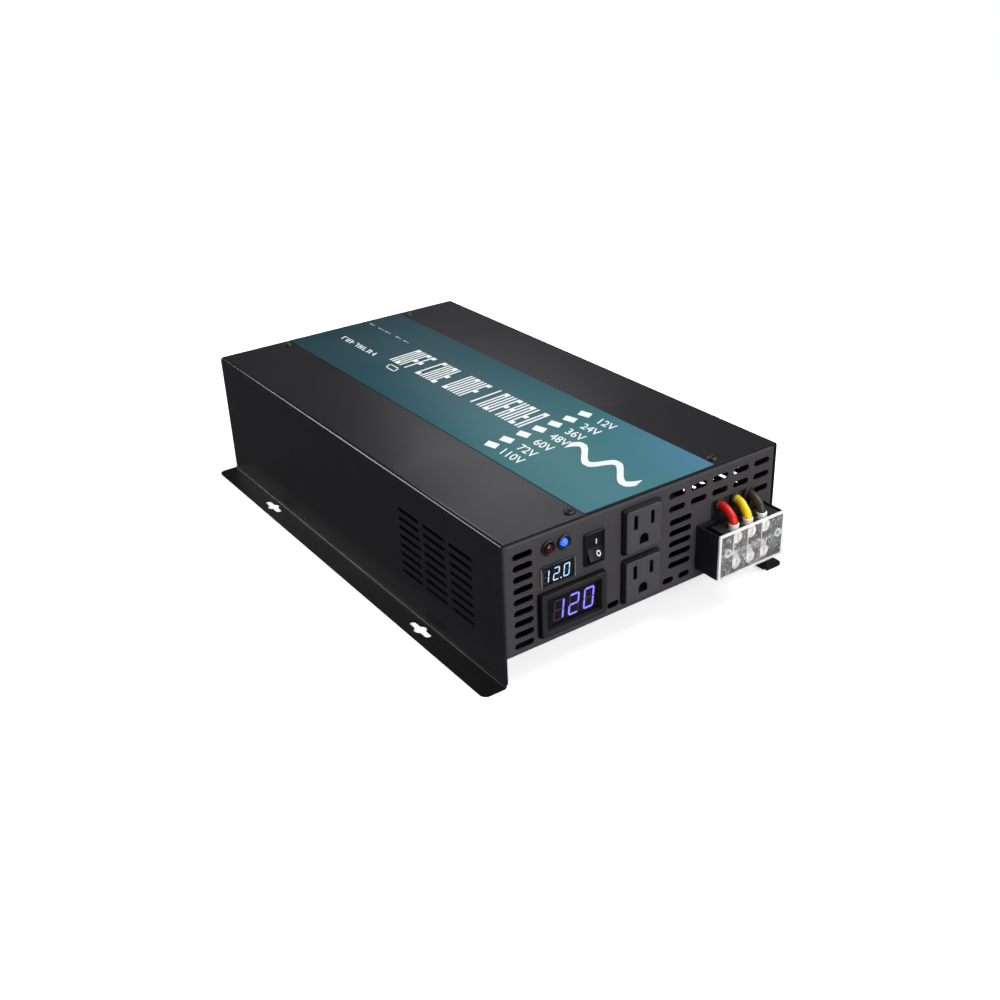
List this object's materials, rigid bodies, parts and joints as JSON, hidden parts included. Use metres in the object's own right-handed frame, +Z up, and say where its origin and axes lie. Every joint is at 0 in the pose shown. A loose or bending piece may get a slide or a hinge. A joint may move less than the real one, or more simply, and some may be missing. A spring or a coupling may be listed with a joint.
{
  "type": "power inverter",
  "caption": "Flat folded-steel power inverter with slotted feet, grounded outlets, digital meters, a rocker switch, an AC terminal box, and rear fans and DC studs.",
  "frame": {"origin": "middle of the whole footprint on the plane the feet rest on, from the front of the terminal cover to the tips of the DC studs", "axes": "+Z up; the front panel faces -Y; +X runs from the meters towards the AC terminal box, left to right seen from the front"},
  "size_m": [0.241, 0.42, 0.0952],
  "materials": {
    "case_paint": "fine satin black powder coat",
    "panel_paint": "fine satin dark grey powder coat",
    "label_film": "printed teal film",
    "black_plastic": "fine moulded texture",
    "grey_plastic": "moulded dark grey",
    "white_plastic": "moulded white",
    "red_plastic": "moulded red",
    "red_lens": "tinted clear lens",
    "blue_lens": "lit tinted lens",
    "smoked_window": "smoked window over a lit display",
    "clear_plastic": "clear acrylic",
    "red_insulation": "silicone rubber",
    "yellow_insulation": "silicone rubber",
    "black_insulation": "silicone rubber",
    "bright_steel": "bright plated",
    "brass": "nickel-washed brass",
    "aluminium": "extruded",
    "laminate": "solder mask",
    "ferrite": "ground ferrite",
    "copper_winding": "copper foil and tape",
    "copper_bar": "bare copper",
    "enamel": "enamelled wire",
    "capacitor_sleeve": "shrink sleeve"
  },
  "bodies": {
    "case": {"ac_meter_body": "black_plastic", "ac_meter_window": "smoked_window", "base_plate": "case_paint", "bus_bar_negative": "copper_bar", "bus_bar_positive": "copper_bar", "control_board": "laminate", "cover": "case_paint", "cover_screw_front_left": "bright_steel", "cover_screw_front_right": "bright_steel", "cover_screw_rear_left": "bright_steel", "cover_screw_rear_right": "bright_steel", "dc_meter_body": "black_plastic", "dc_meter_window": "smoked_window", "dc_negative_insulator": "black_plastic", "dc_negative_stud": "bright_steel", "dc_positive_insulator": "red_plastic", "dc_positive_stud": "bright_steel", "fan_left_frame": "black_plastic", "fan_left_guard": "bright_steel", "fan_right_frame": "black_plastic", "fan_right_guard": "bright_steel", "front_panel": "panel_paint", "ground_stud": "brass", "heatsink_left": "aluminium", "heatsink_right": "aluminium", "high_voltage_capacitor": "capacitor_sleeve", "input_capacitor": "capacitor_sleeve", "led_blue": "blue_lens", "led_holder_blue": "black_plastic", "led_holder_red": "black_plastic", "led_red": "red_lens", "lug_black": "bright_steel", "lug_red": "bright_steel", "lug_yellow": "bright_steel", "main_board": "laminate", "outlet_lower": "grey_plastic", "outlet_upper": "grey_plastic", "output_choke": "enamel", "output_header": "white_plastic", "rear_panel": "panel_paint", "switch_housing": "black_plastic", "terminal_block": "black_plastic", "terminal_box": "case_paint", "terminal_screw_black_lower": "brass", "terminal_screw_black_upper": "brass", "terminal_screw_red_lower": "brass", "terminal_screw_red_upper": "brass", "terminal_screw_yellow_lower": "brass", "terminal_screw_yellow_upper": "brass", "top_label": "label_film", "transformer_core": "ferrite", "transformer_winding": "copper_winding", "wire_black": "black_insulation", "wire_red": "red_insulation", "wire_yellow": "yellow_insulation"},
    "switch_rocker": {"switch_rocker": "black_plastic"},
    "fan_left_rotor": {"fan_left_rotor": "black_plastic"},
    "fan_right_rotor": {"fan_right_rotor": "black_plastic"},
    "terminal_cover": {"terminal_cover": "clear_plastic"}
  },
  "joints": [
    {"name": "power_switch", "type": "hinge", "parent": "case", "child": "switch_rocker", "pos_m": [-0.0415, -0.18655, 0.0709], "axis": [1, 0, 0], "range_deg": [0, 24]},
    {"name": "left_fan_spin", "type": "hinge", "parent": "case", "child": "fan_left_rotor", "pos_m": [-0.066, 0.17395, 0.0556], "axis": [0, 1, 0], "continuous": true},
    {"name": "right_fan_spin", "type": "hinge", "parent": "case", "child": "fan_right_rotor", "pos_m": [0.066, 0.17395, 0.0556], "axis": [0, 1, 0], "continuous": true},
    {"name": "terminal_cover_pull", "type": "slide", "parent": "case", "child": "terminal_cover", "axis": [0, -1, 0], "range_m": [0, 0.012]}
  ]
}
